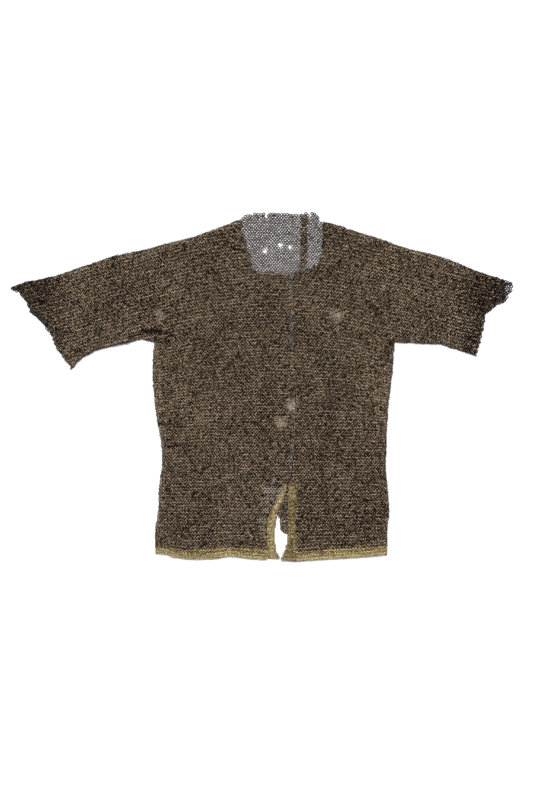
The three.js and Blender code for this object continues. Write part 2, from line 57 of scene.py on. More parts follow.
# Sizes of the weave, in metres and degrees
WALL = 0.0036  # thickness of one layer
RING_RADIUS = 0.0029  # from the ring's middle to the wire's middle
WIRE_HALF_WIDTH = 0.00070  # in the ring's plane: the wire is flattened
WIRE_HALF_DEPTH = 0.00036
RING_TILT = 15.0
RING_PITCH = 0.0064  # along a row
ROW_PITCH = 0.00375
RING_STEPS = 7  # sides of a ring seen from its front
WIRE_SIDES = 3
LAP_SWELL = 0.3  # how much wider and thicker the wire is at the riveted lap
RING_TONE = 0.05  # the most that chance adds to the patina of a whole ring
WIRE_TONE = 0.58  # and to that of each stretch of its wire
BARE_LIGHT = 0.3  # how much less patina a bare, worn ring has
BARE_SHARE = 0.65  # of such a ring's wire is pale, and the rest stays as it was
EDGE_ROOM = 0.0026  # a ring this close to a cut edge is left out
FOLD_EDGE_ROOM = 0.0005  # the same on the narrow neck fold
STEEP = 0.9  # rings stay at a folded edge, where the wall's normal rises less than this

# Under the front layer the back one is rings near every edge, and further in a plate that they overlap.
# A place is that far in if the front lies over it and all round it at each of these distances.
BAND_STEPS = (0.0, 0.0025, 0.005, 0.010)
PLATE_STEPS = (0.0, 0.0015)
PLATE_LOW = 0.0003  # over the wall's underside
PLATE_HIGH = 0.0010
CELL = 0.006  # side of the plates' square cells
LEVEL_STEPS = 12  # steps that find a point's row

RING_STRAY = np.array([0.0005, 0.0004, 0.0001])  # how far a ring lies off its place, each way
RING_LEAN = 0.12  # how far it leans off the wall's normal
TILT_STRAY = 7.0  # how far its tilt is off the usual one, in degrees
SPIN_STRAY = 0.5  # how far it is turned in its own plane, in radians
FLOOR_ROOM = 0.00005  # a ring that would dip into the surface below is lifted this clear of it

# The weave's rows and rings fill more than the shirt's box
LEVEL_RANGE = (-0.42, 0.62)
PLACE_RANGE = (-0.62, 0.62)
SLOPE_STEP = 0.001  # a row's slope is taken over this far, each way

# Lie of the rows: level on the body, and sloping down along the sleeves
BODY_MIDDLE = 0.022
DROOP_FROM = 0.130  # the slope begins this far from the body's middle
DROOP_BLEND = 0.050
DROOP_SLOPE = 0.29
DROOP_LOW = -0.150  # rows below this level don't droop
DROOP_HIGH = 0.140  # and rows above this one droop in full
HEM_LEVEL = -0.378  # of the row that follows the hem
HEM_FADE = 0.090  # rows this far above it no longer do

# The rings wander off the even weave in slow waves
WANDER = np.array([
    # height of the wave, its length along its run and across it, where it starts in radians
    (0.0008, 0.171, 0.930, 0.3),
    (0.0005, 0.083, -0.260, 1.9),
    (0.0003, 0.041, 0.170, 4.1),
])
WANDER_ALONG = 0.6  # share of the waves that moves a ring along its row

# The hem edge, which the lowest rows follow
HEM_EDGE = np.array([
    # x, y
    (-0.235, -0.366),
    (-0.210, -0.369),
    (-0.197, -0.375),
    (-0.163, -0.380),
    (-0.132, -0.380),
    (-0.104, -0.379),
    (-0.072, -0.373),
    (-0.048, -0.376),
    (-0.024, -0.379),
    (0.003, -0.381),
    (0.014, -0.380),
    (0.076, -0.385),
    (0.097, -0.383),
    (0.124, -0.381),
    (0.158, -0.379),
    (0.194, -0.377),
    (0.224, -0.375),
    (0.251, -0.372),
    (0.276, -0.369),
])

# Middle line of the closure, and its chain of rings
CLOSURE_LINE = np.array([
    # y, x
    (-0.213, 0.057),
    (-0.176, 0.062),
    (-0.132, 0.066),
    (-0.101, 0.069),
    (-0.020, 0.069),
    (0.066, 0.066),
    (0.150, 0.064),
    (0.254, 0.063),
])
CLOSURE_PITCH = 0.0036
CLOSURE_RISE = 0.0009  # the closure's rings ride on those of the two fronts
CLOSURE_RANGE = (-0.208, 0.252)  # along y
CLOSURE_STAGGER = 0.0009  # its rings stand this far to either side in turn
CLOSURE_SEED = 40

# Stretches of the closure whose rings are mostly pale: from y, to y
PALE_STRETCHES = ((0.202, 0.240), (0.092, 0.169), (-0.073, -0.029), (-0.183, -0.117))
PALE_CHANCE = 0.75  # that a ring is pale there
STRAY_CHANCE = 0.25  # and elsewhere

# The sleeves are darker towards their cuffs; only the end of the left one is of single, open mail
CUFF_SINGLE_FROM = 0.534
CUFF_DARK = 0.14
CUFF_FROM = 0.40  # from the shirt's middle
CUFF_BLEND = 0.12

# The borders of the slit are duller than those of the hem, and the fold is darker than the fronts
DULL = {"slit_border_right": 0.06, "slit_border_left": 0.16, "neck_fold": 0.02}

# Sharp creases of the front layer: a name, how far the rings sink, half the crease's width, how dark
# the painted shade of the fold in it is, and its points
CREASES = (
    ("armpit arc high", 0.0020, 0.0022, 0.40, ((-0.262, 0.122), (-0.243, 0.125), (-0.222, 0.122))),
    (
        "armpit arc low", 0.0014, 0.0032, 0.20,
        ((-0.288, 0.110), (-0.262, 0.121), (-0.222, 0.122), (-0.194, 0.112)),
    ),
    ("armpit end", 0.0014, 0.0045, 0.15, ((-0.236, 0.103), (-0.222, 0.098), (-0.205, 0.101))),
    ("far armpit", 0.0015, 0.0050, 0.15, ((0.292, 0.106), (0.277, 0.088), (0.262, 0.062))),
    ("side high", 0.0012, 0.0045, 0.12, ((-0.233, -0.078), (-0.200, -0.084), (-0.170, -0.088))),
    ("side low", 0.0012, 0.0045, 0.12, ((-0.238, -0.136), (-0.205, -0.131), (-0.165, -0.124))),
)
CREASE_STEP = 0.0005  # a crease's slopes are taken over this far, each way

# Paler worn spots of the front layer: plan place, half width, half length, how pale
SPOTS = (
    (0.018, -0.234, 0.016, 0.028, 0.9),
    (0.004, -0.295, 0.007, 0.034, 0.5),
    (-0.228, 0.156, 0.006, 0.008, 0.45),
    (0.165, 0.158, 0.008, 0.008, 0.6),
    (0.040, -0.079, 0.011, 0.011, 0.5),
    (0.065, -0.040, 0.009, 0.012, 0.4),
)

# Over the back layer's holes the front's mail is doubled, as where it is mended: plan places
MENDS = ((-0.228, 0.156), (0.165, 0.158), (0.040, -0.079), (0.065, -0.040))
MEND_RADIUS = 0.015

# Between the two borders of the front slit the back layer's mail is as dense and brown as the front's
SLIT_LOW = (0.020, -0.345)
SLIT_HIGH = (0.062, -0.180)
SLIT_DARK = 0.10

# The back layer's rows lie between the front's, and rings that double a layer lie between its own
BACK_SHIFT = ROW_PITCH * 0.75
FRONT_LINING_SHIFT = ROW_PITCH * 0.75
FRONT_LINING_RISE = -0.0008  # they lie under the front's first rings
BACK_LINING_SHIFT = ROW_PITCH * 0.2
BACK_LINING_RISE = 0.0006  # and over the back's

# Relief of the weave on a plate: a wire's height from 0 to 1, and the depth of 1
RELIEF_MIDDLE = 0.55
RELIEF_LEAN = 0.4  # how much it rises or falls across a ring
RELIEF_DEPTH = 0.0015

# Light
FLOOR_HALF = 30.0
FLOOR_WHITE = 0.92
FLOOR_ROUGHNESS = 0.9
SUN_STRENGTH = 3.1
SUN_WIDTH = 20.0  # in degrees, which sets how soft its shadows are
SUN_DIRECTION = (0.18, -0.35, -1.0)
SURROUND_STRENGTH = 0.35

# Camera: straight above, on a long lens, framed as the photograph is
MM_PER_PIXEL = 2.2
IMAGE_SIZE = (533, 800)
BOX_MIDDLE = (262.0, 387.0)  # of the shirt in the image
CAMERA_HEIGHT = 6.0
SENSOR = 36.0
CLIP_END = 100.0


def add_camera():
    """Camera that looks straight down; its lens gives the image's height at the shirt's distance."""
    data = bpy.data.cameras.new("camera")
    half_height = IMAGE_SIZE[1] / 2 * MM_PER_PIXEL / 1000
    data.sensor_fit = "AUTO"
    data.sensor_width = SENSOR
    data.lens = SENSOR / 2 * CAMERA_HEIGHT / half_height
    data.clip_end = CLIP_END
    camera = bpy.data.objects.new("camera", data)
    camera.location = (
        (IMAGE_SIZE[0] / 2 - BOX_MIDDLE[0]) * MM_PER_PIXEL / 1000,
        (BOX_MIDDLE[1] - IMAGE_SIZE[1] / 2) * MM_PER_PIXEL / 1000,
        CAMERA_HEIGHT,
    )
    bpy.context.scene.collection.objects.link(camera)
    bpy.context.scene.camera = camera


add_camera()

# Where the rings lie: a point is looked up at its own place and then 0.4 mm to each side, across a seam
SEAM_STEPS = ((0.0, 0.0), (0.0004, 0.0), (-0.0004, 0.0), (0.0, 0.0004), (0.0, -0.0004))


def smooth(t):
    """Smooth step from 0 to 1."""
    s = np.clip(t, 0.0, 1.0)
    return s * s * (3.0 - 2.0 * s)


def wander(along, across):
    """Sum of slow sine waves that run mostly along one axis and turn a little with the other."""
    total = np.zeros(np.broadcast(along, across).shape)
    for height, length, turn, start in WANDER:
        total = total + height * np.sin(2 * np.pi * (along / length + across / turn) + start)
    return total


def row_height(x, t):
    """Height y of the row with level t at x: the level, less the droop beyond the body's middle part,
    plus the wave of the hem near the hem and the wander away from it."""
    out = np.abs(x - BODY_MIDDLE) - DROOP_FROM
    droop = DROOP_SLOPE * DROOP_BLEND * np.logaddexp(0.0, out / DROOP_BLEND)
    share = smooth((t - DROOP_LOW) / (DROOP_HIGH - DROOP_LOW))
    wave = np.interp(x, HEM_EDGE[:, 0], HEM_EDGE[:, 1]) - HEM_LEVEL
    near = smooth((HEM_LEVEL + HEM_FADE - t) / HEM_FADE)
    return t - droop * share + wave * near + wander(x, t) * (1.0 - near)


def lattice(shift_rows):
    """Centres of all rings of one layer in plan, their rows' slopes and their row numbers.
    Ring i of row j is at pitch * (i + half of j's parity) along the row, on the level of row j."""
    levels = np.arange(*LEVEL_RANGE, ROW_PITCH) + shift_rows
    places = np.arange(*PLACE_RANGE, RING_PITCH)
    rows = np.arange(len(levels))
    row = np.repeat(rows, len(places))
    x = np.tile(places, len(levels)) + (row % 2) * RING_PITCH / 2
    t = levels[row]
    x = x + WANDER_ALONG * wander(t, x)
    y = row_height(x, t)
    slope = (row_height(x + SLOPE_STEP, t) - row_height(x - SLOPE_STEP, t)) / (2 * SLOPE_STEP)
    return np.stack([x, y], axis=1), slope, row


def node_tree(name):
    """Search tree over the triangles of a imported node."""
    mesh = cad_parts[name].data
    points = np.empty(len(mesh.vertices) * 3)
    mesh.vertices.foreach_get("co", points)
    corners = np.empty(len(mesh.loops), dtype=np.int32)
    mesh.loops.foreach_get("vertex_index", corners)
    return BVHTree.FromPolygons(points.reshape(-1, 3).tolist(), corners.reshape(-1, 3).tolist())


def hits(tree, xy, from_below):
    """Where upright lines through these plan points first meet a node: a mask, the points and the normals."""
    start, step = (-1.0, 1.0) if from_below else (1.0, -1.0)
    found = [tree.ray_cast((x, y, start), (0.0, 0.0, step)) for x, y in xy]
    mask = np.array([f[0] is not None for f in found], dtype=bool)
    points = np.array([f[0] if f[0] is not None else (0.0, 0.0, 0.0) for f in found]).reshape(-1, 3)
    normals = np.array([f[1] if f[1] is not None else (0.0, 0.0, 1.0) for f in found]).reshape(-1, 3)
    return mask, points, normals


LAYER_NODES = {
    "front": [
        "front_right_panel", "front_left_panel", "closure_strip",
        "sleeve_right_front", "sleeve_left_front",
        "hem_border_front_right", "hem_border_front_left",
        "slit_border_right", "slit_border_left",
    ],
    "back": [
        "back_panel", "sleeve_right_back", "sleeve_left_back",
        "hem_border_back_right", "hem_border_back_left",
    ],
    "fold": ["neck_fold"],
}
BOX_MARGIN = 0.0005


def plan_box(name):
    """Lowest and highest plan point of a node, with a small margin."""
    low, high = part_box(name)
    return np.array(low)[:2] - BOX_MARGIN, np.array(high)[:2] + BOX_MARGIN


TREES = {name: (*plan_box(name), node_tree(name)) for names in LAYER_NODES.values() for name in names}


def over_layer(layer, xy):
    """Whether each plan point is over a node of a layer, or in the thin gap between two."""
    over = np.zeros(len(xy), dtype=bool)
    for step in SEAM_STEPS:
        for name in LAYER_NODES[layer]:
            low, high, tree = TREES[name]
            ask = np.nonzero(~over & (xy >= low).all(axis=1) & (xy <= high).all(axis=1))[0]
            over[ask] = hits(tree, xy[ask] + step, False)[0]
    return over


def all_round(layer, xy, distance):
    """Whether eight points at a distance around each plan point are all over a layer."""
    angles = np.arange(8) * np.pi / 4
    around = np.stack([np.cos(angles), np.sin(angles)], axis=1) * distance
    return over_layer(layer, (xy[:, None] + around).reshape(-1, 2)).reshape(-1, 8).all(axis=1)


def hidden(xy, distances):
    """Whether each plan point lies under the front layer, with all of these distances to spare."""
    under = np.ones(len(xy), dtype=bool)
    for distance in distances:
        ask = np.nonzero(under)[0]
        under[ask] = all_round("front", xy[ask], distance)
    return under


def place_rings(layer, names, shift_rows, edge_room=EDGE_ROOM):
    """Rings over these nodes of one layer: for each node its rings' centres, which lie in the middle of
    the wall, their outward normals, row slopes, row numbers, and how dark and how pale each is."""
    xy, slope, row = lattice(shift_rows)
    below = layer == "back"
    free = np.ones(len(xy), dtype=bool)
    placed = {name: [] for name in names}
    for step in SEAM_STEPS:
        for name in names:
            low, high, tree = TREES[name]
            shifted = xy + step
            ask = np.nonzero(free & (shifted >= low).all(axis=1) & (shifted <= high).all(axis=1))[0]
            mask, points, normals = hits(tree, shifted[ask], below)
            got = ask[mask]
            free[got] = False
            placed[name].append((got, points[mask], normals[mask]))
    found = {}
    for name, parts in placed.items():
        number = np.concatenate([p[0] for p in parts])
        points = np.concatenate([p[1] for p in parts])
        normals = np.concatenate([p[2] for p in parts])
        keep = all_round(layer, points[:, :2], edge_room) | (np.abs(normals[:, 2]) < STEEP)
        if below:
            keep &= ~hidden(points[:, :2], BAND_STEPS)
        normals = normals[keep]
        found[name] = {
            "centre": points[keep] - normals * WALL / 2,
            "normal": -normals if below else normals,
            "slope": slope[number[keep]],
            "row": row[number[keep]],
            "dark": np.zeros(keep.sum()),
            "pale": np.zeros(keep.sum()),
        }
        if layer == "front":
            crease(found[name])
        found[name]["dark"] += DULL.get(name, 0.0)
        found[name]["dark"] += CUFF_DARK * smooth((np.abs(points[keep][:, 0]) - CUFF_FROM) / CUFF_BLEND)
    return found


def distance_to(points, xy):
    """Distance of each plan point from a line through points: the least over its straight stretches."""
    best = np.full(len(xy), np.inf)
    for start, end in zip(np.array(points[:-1]), np.array(points[1:])):
        run = end - start
        along = np.clip((xy - start) @ run / (run @ run), 0.0, 1.0)
        best = np.minimum(best, np.linalg.norm(xy - start - along[:, None] * run, axis=1))
    return best


def crease_depth(xy):
    """How far the front layer sinks at each plan point, and how dark its painted shade is there: a bell over
    the distance from each crease."""
    depth = np.zeros(len(xy))
    dark = np.zeros(len(xy))
    for _, sink, half_width, crease_shade, points in CREASES:
        bell = np.exp(-((distance_to(points, xy) / half_width) ** 2))
        depth = np.maximum(depth, sink * bell)
        dark = np.maximum(dark, crease_shade * bell)
    return depth, dark


def spot_share(xy):
    """How much each plan point belongs to a paler spot: a bell over each one."""
    share = np.zeros(len(xy))
    for x, y, half_width, half_length, pale in SPOTS:
        away = ((xy[:, 0] - x) / half_width) ** 2 + ((xy[:, 1] - y) / half_length) ** 2
        share = np.maximum(share, pale * np.exp(-away))
    return share


def crease(rings):
    """Sinks the rings that lie in the front layer's creases, paints the creases' shade into their darkness,
    and leans them down its slopes.
    """
    xy = rings["centre"][:, :2]
    depth, rings["dark"] = crease_depth(xy)
    leans = [
        (crease_depth(xy + step)[0] - crease_depth(xy - step)[0]) / (2 * CREASE_STEP)
        for step in CREASE_STEP * np.eye(2)
    ]
    rings["centre"][:, 2] -= depth
    rings["normal"] = unit(rings["normal"] + np.stack([*leans, np.zeros(len(xy))], axis=1))
    rings["pale"] = spot_share(xy)


def unit(v):
    """Rows scaled to length 1."""
    return v / np.linalg.norm(v, axis=1, keepdims=True)


def place_closure():
    """Chain of rings down the closure: every second one leans the other way and stands to the other
    side. The pale rings are a part of their own."""
    y = np.arange(*CLOSURE_RANGE, CLOSURE_PITCH)
    number = np.arange(len(y))
    x = np.interp(y, CLOSURE_LINE[:, 0], CLOSURE_LINE[:, 1])
    x = x + np.where(number % 2 == 0, CLOSURE_STAGGER, -CLOSURE_STAGGER)
    low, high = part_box("closure_strip")
    z = np.full(len(y), (low[2] + high[2]) / 2 + CLOSURE_RISE)
    rings = {
        "centre": np.stack([x, y, z], axis=1),
        "normal": np.tile((0.0, 0.0, 1.0), (len(y), 1)),
        "slope": np.zeros(len(y)),
        "row": number,
        "dark": np.zeros(len(y)),
        "pale": np.zeros(len(y)),
    }
    in_stretch = np.any([(y > start) & (y < end) for start, end in PALE_STRETCHES], axis=0)
    chance = np.where(in_stretch, PALE_CHANCE, STRAY_CHANCE)
    pale = np.random.default_rng(CLOSURE_SEED).uniform(0, 1, len(y)) < chance
    return {"closure_pale": pick(rings, pale), "closure_dark": pick(rings, ~pale)}


def pick(rings, mask):
    """The rings that a mask keeps."""
    return {key: value[mask] for key, value in rings.items()}


def join(rings, others, rise):
    """Rings of both sets, with the second set raised."""
    raised = {**others, "centre": others["centre"] + (0.0, 0.0, rise)}
    return {key: np.concatenate([value, raised[key]]) for key, value in rings.items()}


def add_mends(found, names):
    """Doubles the mail of some nodes near each mended place."""
    for name, rings in place_rings("front", names, FRONT_LINING_SHIFT).items():
        away = np.linalg.norm(rings["centre"][:, None, :2] - np.array(MENDS), axis=2).min(axis=1)
        found[name] = join(found[name], pick(rings, away < MEND_RADIUS), FRONT_LINING_RISE)


def add_lining(found, layer, names, shift_rows, rise, east_end=1.0):
    """Doubles the weave of some nodes, as heavy border mail is, with rings between the first ones, as
    far as a place along x."""
    for name, rings in place_rings(layer, names, shift_rows).items():
        found[name] = join(found[name], pick(rings, rings["centre"][:, 0] < east_end), rise)


def in_slit(rings):
    """Which rings lie in the plan box of the front slit."""
    xy = rings["centre"][:, :2]
    return ((xy > SLIT_LOW) & (xy < SLIT_HIGH)).all(axis=1)


def split(layer, name):
    """Shares out a panel's rings between its high and its low half, which have as many each."""
    rings = layer.pop(name)
    height = rings["centre"][:, 1]
    high = height > np.median(height)
    layer[name + "_high"] = pick(rings, high)
    layer[name + "_low"] = pick(rings, ~high)


# Meshes of rings
def ring_template(wire):
    """Points and quads of one ring about +Z: a circle of small sections, whose wire swells at one place,
    where the riveted lap is. The wire's width is a multiple of the usual one."""
    turn = np.arange(RING_STEPS) * 2 * np.pi / RING_STEPS
    side = np.arange(WIRE_SIDES) * 2 * np.pi / WIRE_SIDES + np.pi / 2
    swell = 1.0 + LAP_SWELL * (np.arange(RING_STEPS) == 0)[:, None]
    away = RING_RADIUS + swell * wire * WIRE_HALF_WIDTH * np.cos(side)
    points = np.stack([
        away * np.cos(turn)[:, None],
        away * np.sin(turn)[:, None],
        swell * WIRE_HALF_DEPTH * np.sin(side),
    ], axis=2).reshape(-1, 3)
    step, edge = np.meshgrid(np.arange(RING_STEPS), np.arange(WIRE_SIDES), indexing="ij")
    next_step = (step + 1) % RING_STEPS
    next_edge = (edge + 1) % WIRE_SIDES
    quads = np.stack([
        step * WIRE_SIDES + edge,
        next_step * WIRE_SIDES + edge,
        next_step * WIRE_SIDES + next_edge,
        step * WIRE_SIDES + next_edge,
    ], axis=2).reshape(-1, 4)
    return points, quads


def ring_frames(rings, draws):
    """Axes of each ring. The first runs along its row on the wall, the second leans out of the wall by
    the tilt, up on even rows and down on odd ones, and the third is the ring's own normal."""
    normal = unit(rings["normal"] + RING_LEAN * draws["lean"])
    along = np.stack([np.ones(len(normal)), rings["slope"], np.zeros(len(normal))], axis=1)
    along = unit(along - normal * (along * normal).sum(axis=1, keepdims=True))
    across = np.cross(normal, along)
    sign = np.where(rings["row"] % 2 == 0, 1.0, -1.0)
    tilt = np.radians(RING_TILT + TILT_STRAY * draws["tilt"]) * sign
    second = across * np.cos(tilt)[:, None] + normal * np.sin(tilt)[:, None]
    third = np.cross(along, second)
    spin = draws["spin"]
    first = along * np.cos(spin)[:, None] + second * np.sin(spin)[:, None]
    second = np.cross(third, first)
    return np.stack([first, second, third], axis=1)


def finish_piece(mesh, material, node):
    """Object for a finished mesh, which stands for a node."""
    piece = bpy.data.objects.new(mesh.name, mesh)
    bpy.context.scene.collection.objects.link(piece)
    mesh.materials.append(material)
    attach(piece, "root")
    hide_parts(node)
    return piece


def quad_mesh(name, points, quads):
    """Mesh from arrays of points and of quads."""
    mesh = bpy.data.meshes.new(name)
    mesh.vertices.add(len(points))
    mesh.vertices.foreach_set("co", points.astype(np.float32).ravel())
    mesh.loops.add(quads.size)
    mesh.loops.foreach_set("vertex_index", quads.astype(np.int32).ravel())
    mesh.polygons.add(len(quads))
    mesh.polygons.foreach_set("loop_start", np.arange(0, quads.size, 4, dtype=np.int32))
    mesh.update(calc_edges=True)
    return mesh


def mesh_of_rings(name, rings, material, node, seed, wire, loose):
    """One joined mesh of rings that stands for a node, with the tone of each ring and stretch of wire
    (chance, plus the set darkness, which holds the creases' painted shade), and the height of each point on
    its ring, which the materials turn into wear and painted highlight, as attributes. Loose rings lie less
    evenly."""
    count = len(rings["centre"])
    random = np.random.default_rng(seed)
    draws = {
        "lean": random.uniform(-1, 1, (count, 3)),
        "tilt": random.uniform(-1, 1, count),
        "spin": random.uniform(-SPIN_STRAY, SPIN_STRAY, count),
        "shift": random.uniform(-1, 1, (count, 3)) * RING_STRAY * loose,
        "tone": random.uniform(0, 1, count),
        "wire": random.uniform(0, 1, (count, RING_STEPS)),
        "pale": random.uniform(0, 1, count),
    }
    points, quads = ring_template(wire)
    frames = ring_frames(rings, draws)
    local = np.einsum("kj,nji->nki", points, frames)
    vertices = rings["centre"][:, None] + draws["shift"][:, None] + local
    vertices[:, :, 2] += np.maximum(FLOOR_ROOM - vertices[:, :, 2].min(axis=1, keepdims=True), 0.0)
    height = local @ np.array([0.0, 0.0, 1.0]) / (RING_RADIUS * np.sin(np.radians(RING_TILT)))
    faces = quads[None] + (np.arange(count) * len(points))[:, None, None]
    mesh = quad_mesh(name, vertices.reshape(-1, 3), faces.reshape(-1, 4))
    mesh.polygons.foreach_set("use_smooth", np.ones(len(mesh.polygons), dtype=bool))
    bare = np.where(draws["pale"] < rings["pale"], 1.0, 0.0)
    tone = RING_TONE * draws["tone"] + rings["dark"] - BARE_LIGHT * bare
    along_wire = np.repeat(WIRE_TONE * draws["wire"], WIRE_SIDES, axis=1)
    for label, values in (
        ("tone", (tone[:, None] + along_wire).ravel()),
        ("pale", np.repeat(bare[:, None] * (draws["wire"] > 1 - BARE_SHARE), WIRE_SIDES, axis=1).ravel()),
        ("crown", np.clip(height.ravel() / 2 + 0.5, 0, 1)),
    ):
        attribute = mesh.attributes.new(label, "FLOAT", "POINT")
        attribute.data.foreach_set("value", values.astype(np.float32))
    return finish_piece(mesh, material, node)


# Plates of the hidden stretches
def level_of(x, y):
    """Level of the row that passes through a plan point, found by a few steps towards it."""
    level = y.copy()
    for _ in range(LEVEL_STEPS):
        level += y - row_height(x, level)
    return level


def hidden_cells():
    """Square grid over the shirt: the middles of its cells, which cells lie well under the front layer or
    are the neck fold's, and the plan points of its corners. A corner on the edge of those cells moves
    to the mean of its own cells' middles."""
    lines_x = np.arange(cad_box[0][0], cad_box[1][0] + CELL, CELL)
    lines_y = np.arange(cad_box[0][1], cad_box[1][1] + CELL, CELL)
    middles = np.stack(np.meshgrid(lines_x[:-1], lines_y[:-1]), axis=2).reshape(-1, 2) + CELL / 2
    cells = hidden(middles, PLATE_STEPS) & over_layer("back", middles) | over_layer("fold", middles)
    cells = cells.reshape(len(lines_y) - 1, len(lines_x) - 1)
    padded = np.pad(cells, 1).astype(int)
    low_left, low_right = padded[:-1, :-1], padded[:-1, 1:]
    high_left, high_right = padded[1:, :-1], padded[1:, 1:]
    count = np.maximum(low_left + low_right + high_left + high_right, 1)
    x = lines_x[None, :] + CELL / 2 * (low_right + high_right - low_left - high_left) / count
    y = lines_y[:, None] + CELL / 2 * (high_left + high_right - low_left - low_right) / count
    return middles, cells, np.stack([x, y], axis=2)


MIDDLES, CELLS, CORNERS = hidden_cells()


def cells_of(layer):
    """Hidden cells of each node of a layer: those whose middles lie over it, or within a seam of it."""
    free = CELLS.ravel().copy()
    own = {name: np.zeros(len(free), dtype=bool) for name in LAYER_NODES[layer]}
    for step in SEAM_STEPS:
        for name in LAYER_NODES[layer]:
            ask = np.nonzero(free)[0]
            got = ask[hits(TREES[name][2], MIDDLES[ask] + step, True)[0]]
            own[name][got] = True
            free[got] = False
    return {name: cells.reshape(CELLS.shape) for name, cells in own.items()}


NODE_CELLS = {**cells_of("back"), **cells_of("fold")}


def plate(name, material, node):
    """Thin closed plate for a node's hidden stretch, which follows the wall's underside."""
    own = NODE_CELLS[node]
    cells = np.pad(own, 1)
    count = np.stack([cells[:-1, :-1], cells[:-1, 1:], cells[1:, :-1], cells[1:, 1:]]).sum(axis=0)
    number = np.full(count.shape, -1)
    used = count > 0
    number[used] = np.arange(used.sum())
    total = used.sum()
    corners = np.stack([number[:-1, :-1], number[:-1, 1:], number[1:, 1:], number[1:, :-1]], axis=2)
    bottom = corners[own]
    rim = []
    for side, (rows, columns) in enumerate(((-1, 0), (0, 1), (1, 0), (0, -1))):
        beyond = cells[1 + rows:cells.shape[0] - 1 + rows, 1 + columns:cells.shape[1] - 1 + columns]
        edge = corners[own & ~beyond][:, [side, (side + 1) % 4]]
        rim.append(np.stack([edge[:, 0], edge[:, 1], edge[:, 1] + total, edge[:, 0] + total], axis=1))
    quads = np.concatenate([bottom[:, ::-1], bottom + total, *rim])
    flat = CORNERS[used]
    found, under, _ = hits(TREES[node][2], flat, True)
    floor = np.where(found, under[:, 2], np.min(under[found, 2]))
    points = np.concatenate([
        np.column_stack([flat, floor + PLATE_LOW]),
        np.column_stack([flat, floor + PLATE_HIGH]),
    ])
    mesh = quad_mesh(name, points, quads)
    weave = np.stack([points[:, 0], level_of(points[:, 0], points[:, 1])], axis=1)
    layer = mesh.uv_layers.new(name="weave")
    layer.data.foreach_set("uv", weave[quads.ravel()].astype(np.float32).ravel())
    return finish_piece(mesh, material, node)


# Materials
def new_group(name, inputs, outputs):
    """Empty shader node group with these named number or colour sockets."""
    group = bpy.data.node_groups.new(name, "ShaderNodeTree")
    for socket, kind, default in inputs:
        item = group.interface.new_socket(name=socket, in_out="INPUT", socket_type=kind)
        item.default_value = default
    for socket, kind in outputs:
        group.interface.new_socket(name=socket, in_out="OUTPUT", socket_type=kind)
    return group


def add_node(tree, kind, links=(), **values):
    """Adds a node, sets its properties, and feeds its inputs from (input, node, output) or (input, value)."""
    node = tree.nodes.new(kind)
    for key, value in values.items():
        setattr(node, key, value)
    for link in links:
        if len(link) == 3:
            tree.links.new(link[1].outputs[link[2]], node.inputs[link[0]])
        else:
            node.inputs[link[0]].default_value = link[1]
    return node


def patina_group():
    """Patina mask: broad cloudy patches plus fine specks, both noise on Object coordinates, and each
    point's own tone. The second output is wear and a painted highlight: the mask's opposite, rising towards
    the crown of each ring."""
    group = new_group(
        "wire_patina",
        [
            ("Patch Scale", "NodeSocketFloat", 9.0),
            ("Speck Scale", "NodeSocketFloat", 600.0),
            ("Ring Share", "NodeSocketFloat", 1.0),
            ("Patch Share", "NodeSocketFloat", 0.25),
            ("Speck Share", "NodeSocketFloat", 0.5),
            ("Clean Below", "NodeSocketFloat", 0.40),
            ("Dark Above", "NodeSocketFloat", 0.82),
        ],
        [("Patina", "NodeSocketFloat"), ("Wear And Highlight", "NodeSocketFloat")],
    )
    source = add_node(group, "NodeGroupInput")
    result = add_node(group, "NodeGroupOutput")
    place = add_node(group, "ShaderNodeTexCoord")
    patches = add_node(group, "ShaderNodeTexNoise", [
        ("Vector", place, "Object"), ("Scale", source, "Patch Scale"), ("Detail", 4.0), ("Roughness", 0.6),
    ])
    specks = add_node(group, "ShaderNodeTexNoise", [
        ("Vector", place, "Object"), ("Scale", source, "Speck Scale"), ("Detail", 3.0), ("Roughness", 0.6),
    ])
    tone = add_node(group, "ShaderNodeAttribute", attribute_name="tone")
    crown = add_node(group, "ShaderNodeAttribute", attribute_name="crown")
    ring = add_node(group, "ShaderNodeMath", [
        (0, tone, "Fac"), (1, source, "Ring Share"),
    ], operation="MULTIPLY")
    cloud = add_node(group, "ShaderNodeMath", [
        (0, patches, "Fac"), (1, source, "Patch Share"), (2, ring, 0),
    ], operation="MULTIPLY_ADD")
    total = add_node(group, "ShaderNodeMath", [
        (0, specks, "Fac"), (1, source, "Speck Share"), (2, cloud, 0),
    ], operation="MULTIPLY_ADD")
    fine = add_node(group, "ShaderNodeMapRange", [
        ("Value", total, 0), ("From Min", source, "Clean Below"), ("From Max", source, "Dark Above"),
    ])
    # painted highlight as well as wear: the higher a point stands on its ring, the paler it gets
    wear_and_highlight = add_node(group, "ShaderNodeMapRange", [
        ("Value", crown, "Fac"), ("From Min", -0.2), ("From Max", 0.95),
    ])
    clear = add_node(group, "ShaderNodeMath", [(0, 1.0), (1, fine, "Result")], operation="SUBTRACT")
    worn_highlit = add_node(group, "ShaderNodeMath", [
        (0, wear_and_highlight, "Result"), (1, clear, 0),
    ], operation="MULTIPLY", use_clamp=True)
    group.links.new(fine.outputs["Result"], result.inputs["Patina"])
    group.links.new(worn_highlit.outputs[0], result.inputs["Wear And Highlight"])
    return group


